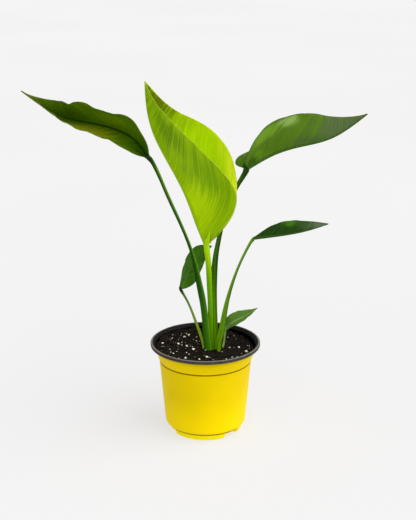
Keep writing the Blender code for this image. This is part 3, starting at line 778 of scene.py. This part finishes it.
def leaf_material(name, top, under, vein, rib, edge, lines, streak=0.3, shine=0.05, patches_and_painted_light=()):
    """Leaf skin. top and under are (dark, light) pairs, and streak is how much of the vein colour streaks
    them. lines are the stronger veins' spacing in millimetres and strength."""
    skin = Recipe(name)
    along, out, t = skin.attribute("growth")
    upside, margin, share = skin.attribute("trim")
    place = skin.place()
    clouds = skin.noise(place, 24, 3, 0.5)
    streaks = skin.join(skin.times(along, 420), skin.times(out, 16), 0)
    streaks = skin.noise(streaks, 1, 3, 0.6)
    bands = skin.join(skin.times(along, 75), skin.times(out, 9), 3)
    bands = skin.noise(bands, 1, 2, 0.5)
    tone = skin.span(skin.plus(skin.times(bands, 0.5), skin.times(clouds, 0.5)), 0.34, 0.66)
    skin.colour = skin.mix(upside, skin.mix(tone, *under), skin.mix(tone, *top))
    if patches_and_painted_light:
        patched(skin, patches_and_painted_light, t, share, bands, streaks)
    skin.layer(skin.span(streaks, 0.42, 0.78, 0, streak), vein)
    spacing, strength = lines
    line = strong_veins(skin, along, t, place, bands, spacing)
    skin.layer(skin.times(line, strength), vein)
    fine = skin.plus(skin.times(along, pi / FINE_VEINS), skin.times(clouds, 2.5))
    fine = skin.math("POWER", skin.math("ABSOLUTE", skin.math("SINE", fine)), 6)
    skin.layer(skin.times(fine, 0.14), vein)
    width = skin.times(skin.minus(1.15, t), RIB_WIDE)
    at_rib = skin.span(skin.math("ABSOLUTE", out), skin.times(width, 0.35), width, 0.8, 0)
    skin.layer(at_rib, rib)
    skin.layer(skin.span(margin, *LEAF_EDGE, 0.85, 0), edge)
    rough = skin.noise(place, 90, 3, 0.6)
    rough = skin.span(rough, 0.3, 0.7, LEAF_ROUGH - 0.05, LEAF_ROUGH + 0.08)
    height = skin.plus(skin.plus(fine, line), skin.times(streaks, 1.2))
    height = skin.plus(height, skin.times(skin.noise(place, 900, 2, 0.5), 0.5))
    skin.bump(height, 0.35, 0.25 * MM)
    return skin.done(rough, shine)


def stalk_material(name, outer, dark, inner, lip_colour, foot, foot_up=0.5, head=None, head_up=None):
    """Petiole skin: fibres along it, with painted shade in the dark colour on its side away from a paler
    channel with pale thin margins. foot is the colour of its lower foot_up, and head the neck's, which comes
    in between the heights of head_up."""
    skin = Recipe(name)
    along, around, up = skin.attribute("stalk")
    lip, inside, _ = skin.attribute("channel")
    fibres = skin.join(skin.times(along, 16), skin.times(around, 26), 0)
    fibres = skin.noise(fibres, 1, 3, 0.6)
    clouds = skin.noise(skin.place(), 30, 3, 0.55)
    # Painted shade: darker on the side away from the channel.
    side = skin.span(around, 0.25, 0.70)
    shade = skin.plus(side, skin.times(skin.minus(fibres, 0.5), 0.6))
    skin.colour = skin.mix(skin.span(shade, 0.1, 0.9), outer, dark)
    skin.layer(skin.span(clouds, 0.5, 0.75, 0, 0.25), inner)
    skin.layer(skin.span(inside, 0, 0.5), inner)
    skin.layer(skin.span(up, 0, foot_up, 0.85, 0), foot)
    # More painted shade on that side, less of it towards the foot.
    shaded = skin.times(skin.span(around, 0.30, 0.62), skin.span(up, 0, foot_up, 0.3, 0.7))
    skin.layer(shaded, dark)
    skin.layer(skin.span(lip, 0.45, 0.95, 0, 0.8), lip_colour)
    if head:
        skin.layer(skin.span(up, *head_up, 0, 0.9), head)
    rough = skin.span(fibres, 0.3, 0.7, STALK_ROUGH - 0.04, STALK_ROUGH + 0.08)
    skin.bump(fibres, 0.3, 0.3 * MM)
    return skin.done(rough, STALK_SHINE)


def yellow_skin():
    """Yellow plastic, with painted bounce light making it paler towards the foot, and painted shade under the
    lip, in the groove and at the foot's step.
    """
    skin = Recipe("pot_yellow")
    place = skin.place()
    height = skin.split(place)[2]
    clouds = skin.noise(place, 16, 3, 0.5)
    skin.colour = skin.mix(skin.span(clouds, 0.35, 0.65), *YELLOWS)
    # Painted light towards the foot, and painted shade under the lip.
    for first, second, at_first, at_second, painted_tone in YELLOW_PAINTED_LIGHT:
        skin.layer(skin.span(height, first * MM, second * MM, at_first, at_second), painted_tone)
    for level, reach in YELLOW_LINES:
        off = skin.math("ABSOLUTE", skin.minus(height, level * MM))
        skin.layer(skin.span(off, reach * 0.3 * MM, reach * MM, 0.95, 0), (132, 100, 0))
    scuff = skin.noise(place, 140, 5, 0.7)
    skin.layer(skin.span(scuff, 0.62, 0.8, 0, 0.12), (190, 150, 10))
    skin.bump(skin.noise(place, 420, 3, 0.6), 0.12, 0.3 * MM)
    return skin.done(skin.span(scuff, 0.3, 0.7, 0.40, 0.52), 0.03)


def lip_skin():
    """Charcoal plastic, worn in patches, with a painted highlight along its top, dark on its inner side."""
    skin = Recipe("pot_lip")
    place = skin.place()
    across, deep, height = skin.split(place)
    worn = skin.noise(place, 160, 4, 0.6)
    skin.colour = skin.mix(skin.span(worn, 0.35, 0.7), (52, 51, 50), (72, 71, 69))
    # Painted highlight along the top of the lip.
    skin.layer(skin.span(height, 128.8 * MM, 129.5 * MM, 0, 0.7), (152, 149, 140))
    from_axis = skin.length(skin.join(across, deep, 0))
    skin.layer(skin.span(from_axis, 73.5 * MM, 74.6 * MM, 0.9, 0), (9, 9, 9))
    skin.layer(skin.span(height, 125.5 * MM, 124.6 * MM, 0, 0.6), (84, 76, 56))
    skin.bump(worn, 0.15, 0.3 * MM)
    return skin.done(skin.span(worn, 0.3, 0.7, 0.42, 0.56), 0.10)


def inside_skin():
    """Black plastic with a little dust and peat on it."""
    skin = Recipe("pot_inside")
    place = skin.place()
    dust = skin.noise(place, 120, 4, 0.65)
    skin.colour = skin.mix(skin.span(dust, 0.55, 0.75), (2, 2, 3), (14, 12, 11))
    crumbs = skin.noise(place, 420, 3, 0.6)
    skin.layer(skin.span(crumbs, 0.60, 0.68, 0, 0.8), (58, 46, 34))
    skin.bump(dust, 0.15, 0.3 * MM)
    return skin.done(skin.span(dust, 0.3, 0.7, 0.6, 0.75), 0)


def grain_material(name, dark, light, scale, rough, pits=0.5):
    """A broken grain's skin: spots between the two colours, and dark pits."""
    skin = Recipe(name)
    place = skin.place()
    spots = skin.noise(place, scale, 4, 0.65)
    holes = skin.node("TexVoronoi", None, {"Vector": place, "Scale": scale * 1.6}).outputs[0]
    skin.colour = skin.mix(skin.span(spots, 0.35, 0.65), dark, light)
    skin.layer(skin.span(holes, 0, 0.25, pits, 0), dark)
    skin.bump(skin.plus(spots, holes), 0.5, 0.4 * MM)
    rough = skin.span(spots, 0.3, 0.7, rough - 0.05, rough + 0.08)
    return skin.done(rough, 0.2)


def mix_material():
    """Damp peat: near black, with brown fibres and rusty specks."""
    skin = Recipe("mix_peat")
    place = skin.place()
    clods = skin.noise(place, 260, 5, 0.65)
    damp = skin.noise(place, 28, 3, 0.5)
    skin.colour = skin.mix(skin.span(clods, 0.38, 0.68), (5, 4, 3), (38, 31, 23))
    skin.layer(skin.span(damp, 0.45, 0.65, 0, 0.5), (17, 11, 9))
    drawn_out = [skin.times(value, scale) for value, scale in zip(skin.split(place), FIBRE_SCALES)]
    fibres = skin.noise(skin.join(*drawn_out), 1, 3, 0.7)
    skin.layer(skin.span(fibres, 0.62, 0.74, 0, 0.5), (98, 78, 54))
    skin.bump(skin.plus(clods, fibres), 0.7, 0.6 * MM)
    return skin.done(skin.span(damp, 0.35, 0.65, 0.78, 0.95), 0.12)


def channel_lift(radius, bearing, wall):
    """How high the pot's underside is raised at this radius (mm) and bearing (degrees): the channels."""
    best = 0
    for centre in CHANNELS:
        off = abs((bearing - centre + 180) % 360 - 180)
        half_wide = radius * sin(radians(CHANNEL_HALF_ANGLE)) + wall
        half_wide = max(half_wide, CHANNEL_LEAST + wall)
        side = radius * sin(radians(min(off, 90)))
        across = min(max((half_wide - side) / CHANNEL_SOFT, 0), 1)
        ahead = radius * cos(radians(off))
        inward = min(max((ahead - (CHANNEL_IN - wall)) / CHANNEL_SOFT, 0), 1)
        best = max(best, eased(across) * eased(inward))
    return best * (CHANNEL_HEIGHT + wall)


def pot_bearings():
    """Even bearings with extra ones at the channels' sides."""
    bearings = set(np.round(np.linspace(-180, 180, POT_STEPS, endpoint=False), 3))
    for centre in CHANNELS:
        for off in np.linspace(*CHANNEL_SIDE, CHANNEL_SIDE_STEPS):
            for at in (centre - off, centre + off):
                bearings.add(round((at + 180) % 360 - 180, 3))
    return sorted(bearings)


def densify(profile, longest):
    """The profile with its long stretches divided."""
    rows = [profile[0]]
    for first, second in zip(profile, profile[1:]):
        count = max(1, ceil(dist(first, second) / longest))
        rows += [tuple(a + (b - a) * k / count for a, b in zip(first, second)) for k in range(1, count + 1)]
    return rows


def band(first, second):
    """The faces between two rings of point numbers."""
    return quads(first, second, np.roll(second, -1), np.roll(first, -1))


def fan(ring, middle):
    """The faces from a ring to its middle point."""
    return [(*pair, middle) for pair in zip(ring, np.roll(ring, -1))]


def pot_ring(points, bearings, radius, level, wall):
    """Adds a ring of the pot's points at this radius and level (mm) and gives their numbers."""
    start = len(points)
    for bearing in bearings:
        lift = channel_lift(radius, bearing, wall)
        angle = radians(bearing)
        way = Vector((sin(angle) * 1.4, cos(angle) * 1.4, level * 0.02))
        at = radius + POT_WOBBLE * noise.noise(way) * min(level / 20, 1)
        points.append((at * sin(angle) * MM, -at * cos(angle) * MM, max(level, lift) * MM))
    return np.arange(start, len(points))


def drain(pot, centre, material):
    """Cuts the drain hole in the channel at this bearing."""
    angle = radians(centre)
    bpy.ops.mesh.primitive_cylinder_add(
        vertices=48, radius=DRAIN_RADIUS, depth=30 * MM,
        location=(sin(angle) * DRAIN_AT, -cos(angle) * DRAIN_AT, 8 * MM),
    )
    hole = bpy.context.object
    hole.data.materials.append(material)
    cut = pot.modifiers.new("drain", "BOOLEAN")
    cut.operation = "DIFFERENCE"
    cut.solver = "EXACT"
    cut.object = hole
    with bpy.context.temp_override(object=pot, active_object=pot, selected_objects=[pot]):
        bpy.ops.object.modifier_apply(modifier=cut.name)
    bpy.data.objects.remove(hole, do_unlink=True)


def make_pot():
    """The pot: rings down its outside and up its inside, joined at the lip, with drain holes."""
    yellow, charcoal, black = range(3)
    bearings = pot_bearings()
    outside = densify(LIP_PROFILE + BODY_PROFILE[:-1], POT_STRETCH)
    inside = densify(INNER_PROFILE[:-1], POT_STRETCH)[::-1]
    points = []
    outer = [pot_ring(points, bearings, radius, level, 0) for radius, level in outside]
    inner = [pot_ring(points, bearings, radius, level, WALL) for radius, level in inside]
    lip_bands = len(densify(LIP_PROFILE, POT_STRETCH)) - 1
    parts = [(band(*pair), charcoal) for pair in zip(outer[:lip_bands], outer[1:])]
    parts += [(band(*pair), yellow) for pair in zip(outer[lip_bands:], outer[lip_bands + 1 :])]
    parts += [(band(*pair), black) for pair in zip(inner, inner[1:])]
    parts.append((band(inner[-1], outer[0]), charcoal))
    for level, ring, colour in ((0, outer[-1], yellow), (WALL, inner[0], black)):
        middle = len(points)
        points.append((0, 0, level * MM))
        parts.append((fan(ring, middle), colour))
    faces = [face for part, _ in parts for face in part]
    skins = [yellow_skin(), lip_skin(), inside_skin()]
    pot = object_from("pot", points, faces, skins)
    pot.data.polygons.foreach_set("material_index", [colour for part, colour in parts for _ in part])
    outward(pot, 0.001 * MM)
    for centre in CHANNELS:
        drain(pot, centre, skins[black])
    return pot


def mix_top(points, way):
    """Adds the mix's crumbly top, ring by ring outward, and gives the rings."""
    radii, levels = zip(*INNER_PROFILE[:-FLAT_POINTS][::-1])
    reaches = []
    for across, deep in way:
        level = ground(BANK_TO * across, BANK_TO * deep) / MM
        reaches.append((np.interp(level - 1, levels, radii) - MIX_GAP) * MM)
    rings = []
    for number in range(1, MIX_RINGS + 1):
        share = number / MIX_RINGS
        start = len(points)
        for (across, deep), reach in zip(way, reaches):
            reach = reach * share**0.8
            x, y = reach * across, reach * deep
            level = crumbly(x, y)
            # Smoother where it meets the wall.
            if share > 0.97:
                level = level + (ground(x, y) - level) * 0.3
            points.append((x, y, level))
        rings.append(np.arange(start, len(points)))
    return rings


def mix_sides(points, way):
    """Adds the mix's side and underside, ring by ring inward, and gives the rings."""
    rings = []
    profile = [(r - MIX_GAP, z + MIX_GAP) for r, z in densify(INNER_PROFILE, MIX_STRETCH) if z < MIX_SIDE_TOP]
    for radius, level in profile[:-1]:
        start = len(points)
        for across, deep in way:
            bearing = degrees(atan2(across, -deep))
            lift = channel_lift(radius, bearing, WALL + MIX_GAP)
            points.append((radius * MM * across, radius * MM * deep, max(level, lift) * MM))
        rings.append(np.arange(start, len(points)))
    return rings


def make_mix(material):
    """The mix: a crumbly top and plain sides that follow the pot's inside, a little clear of it."""
    angles = [2 * pi * step / MIX_STEPS for step in range(MIX_STEPS)]
    way = [(cos(angle), sin(angle)) for angle in angles]
    points = [(0, 0, crumbly(0, 0)), (0, 0, (WALL + MIX_GAP) * MM)]
    rings = mix_top(points, way) + mix_sides(points, way)
    faces = fan(rings[0], 0) + fan(rings[-1][::-1], 1)
    for pair in zip(rings, rings[1:]):
        faces += band(*pair)
    return object_from("potting_mix", points, faces, [material])


def rough_grain(draw, radius, detail, stretch, flat):
    """Points and faces of one broken grain round the origin."""
    bm = bmesh.new()
    bmesh.ops.create_icosphere(bm, subdivisions=detail, radius=radius)
    shift = Vector(draw.uniform(-50, 50, 3))
    axis = Vector(draw.normal(size=3)).normalized()
    turn = draw.uniform(0, pi)
    for vert in bm.verts:
        way = vert.co.normalized()
        swell = 1 + 0.34 * noise.noise(way * 1.3 + shift) + 0.16 * noise.noise(way * 3.4 + shift)
        swell += 0.06 * noise.noise(way * 8 + shift)
        vert.co = way * radius * swell
        vert.co.x *= stretch
        vert.co.z *= flat
        # One side broken off.
        beyond = vert.co.dot(axis) - radius * 0.55
        if beyond > 0:
            vert.co -= axis * beyond * 0.8
    ahead, aside = cos(turn), sin(turn)
    points = [(v.co.x * ahead - v.co.y * aside, v.co.x * aside + v.co.y * ahead, v.co.z) for v in bm.verts]
    faces = [tuple(v.index for v in f.verts) for f in bm.faces]
    bm.free()
    return points, faces


def gathered(x, y, draw):
    """Whether a grain here is kept: they lie thickest at the back left."""
    away = hypot(x - HEAP_AT[0], y - HEAP_AT[1]) / HEAP_REACH
    return draw.uniform() < 0.22 + 0.78 * exp(-(away**2))


def scatter(name, material, draw, count, sizes, detail, stretches, flats, keep):
    """Many small grains lying on the mix, as one piece. sizes are the radii in millimetres."""
    points, faces = [], []
    made = 0
    while made < count:
        angle = draw.uniform(0, 2 * pi)
        reach = FINES_REACH * sqrt(draw.uniform())
        x, y = reach * cos(angle), reach * sin(angle)
        size = sizes[0] * (sizes[1] / sizes[0]) ** draw.uniform() * MM
        if hypot(x - CROWN[0], y - CROWN[1]) < CROWN_CLEAR or (keep and not keep(x, y, draw)):
            continue
        grain, sides = rough_grain(draw, size, detail, draw.uniform(*stretches), draw.uniform(*flats))
        lean = draw.uniform(-FINES_LEAN, FINES_LEAN)
        level = crumbly(x, y) + size * FINES_UP
        start = len(points)
        points += [(px + x, py + y, pz + level + px * lean) for px, py, pz in grain]
        faces += [tuple(start + i for i in face) for face in sides]
        made += 1
    return object_from(name, points, faces, [material])


def place_camera():
    scene = bpy.context.scene
    camera = bpy.data.objects.new("camera", bpy.data.cameras.new("camera"))
    camera.data.lens = CAMERA_LENS
    camera.data.sensor_width = CAMERA_SENSOR
    camera.data.clip_end = CAMERA_REACH
    camera.location = CAMERA_AT
    camera.rotation_euler = (CAMERA_TILT, 0, 0)
    scene.collection.objects.link(camera)
    scene.camera = camera


def lay_floor():
    """A pale floor, partly lit from within."""
    look = Recipe("floor_pale")
    soft = look.noise(look.place(), 0.8, 1, 0.4)
    look.colour = look.mix(look.span(soft, 0.35, 0.65), *FLOOR_TONES)
    look.feed(look.shader.inputs["Emission Color"], look.colour)
    look.feed(look.shader.inputs["Emission Strength"], FLOOR_GLOW)
    paint = look.done(0.9, 0)
    corners = [(x * FLOOR_HALF, y * FLOOR_HALF, 0) for x, y in ((-1, -1), (1, -1), (1, 1), (-1, 1))]
    floor = object_from("floor", corners, [(0, 1, 2, 3)], [paint], False)
    floor.location.z = -FLOOR_DROP


def set_lights():
    scene = bpy.context.scene
    scene.world = bpy.data.worlds.new("studio")
    scene.world.use_nodes = True
    background = scene.world.node_tree.nodes["Background"]
    background.inputs["Color"].default_value = WORLD_COLOUR
    background.inputs["Strength"].default_value = WORLD_STRENGTH
    for label, toward, spread, power, colour in LIGHTS:
        sun = bpy.data.lights.new(label, "SUN")
        sun.angle = radians(spread)
        sun.energy = power
        sun.color = colour
        lit = bpy.data.objects.new(label, sun)
        lit.rotation_euler = Vector(toward).to_track_quat("Z", "Y").to_euler()
        scene.collection.objects.link(lit)
    scene.view_settings.view_transform = "Standard"
    scene.view_settings.look = "None"


def dress_plant():
    """The six blades and their petioles, and the rootstock's colour."""
    for name, leaf in BLADES.items():
        skin = leaf_material(f"leaf_{name}", **LEAF_LOOKS[name])
        blade = make_blade(name, leaf, BLADE_MAKE[name], skin)
        installed(blade, f"blade_{name}", f"blade_{name}")
    for name, shape in PETIOLES.items():
        petiole = make_petiole(name, shape, stalk_material(f"stalk_{name}", **STALK_LOOKS[name]))
        installed(petiole, f"petiole_{name}", f"petiole_{name}")
    root = grain_material("root_cream", (150, 120, 76), (206, 176, 120), 300, 0.7)
    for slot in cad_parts["rootstock"].material_slots:
        slot.material = root


def dress_grain(node, material, draw):
    """A broken grain that fills the box of this grain of the CAD."""
    low, high = (np.array(corner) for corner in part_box(node))
    centre, size = (low + high) / 2, (high - low) / 2
    points, faces = rough_grain(draw, 1, 4, 1, 1)
    points = np.array(points)
    points = points / np.abs(points).max(axis=0) * size + centre
    installed(object_from(node, points, faces, [material]), node.split("_")[0], node)


def dress_grains(draw):
    """The CAD's grains, then the crumbs and the finer grains, which have no node of their own."""
    white = grain_material("perlite_white", (244, 236, 206), (255, 252, 238), 700, 0.85, 0.15)
    bark = grain_material("bark_brown", (62, 40, 24), (118, 82, 50), 300, 0.8)
    crumb = grain_material("crumb_peat", (9, 7, 6), (52, 42, 31), 600, 0.9)
    for node in sorted(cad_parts):
        if node.startswith(("perlite_", "bark_")):
            dress_grain(node, white if node.startswith("perlite_") else bark, draw)
    # Name, material, slot, count, radii in mm, detail, stretch, flatness, and which are kept.
    for label, kind, slot, count, *shape in (
        ("mix_crumbs", crumb, "mix", 1300, (0.45, 1.5), 1, (0.8, 1.8), (0.5, 0.9), None),
        ("perlite_fines", white, "perlite", 110, (0.3, 0.85), 2, (0.9, 2.4), (0.7, 0.95), gathered),
        ("bark_fines", bark, "bark", 50, (0.4, 1.1), 2, (1.4, 3.2), (0.3, 0.6), None),
    ):
        fines = scatter(label, kind, draw, count, *shape)
        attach(fines, BODY)


place_camera()
lay_floor()
set_lights()
dress_plant()
installed(make_pot(), "pot", "pot")
installed(make_mix(mix_material()), "mix", "potting_mix")
dress_grains(np.random.default_rng(GRAIN_SEED))
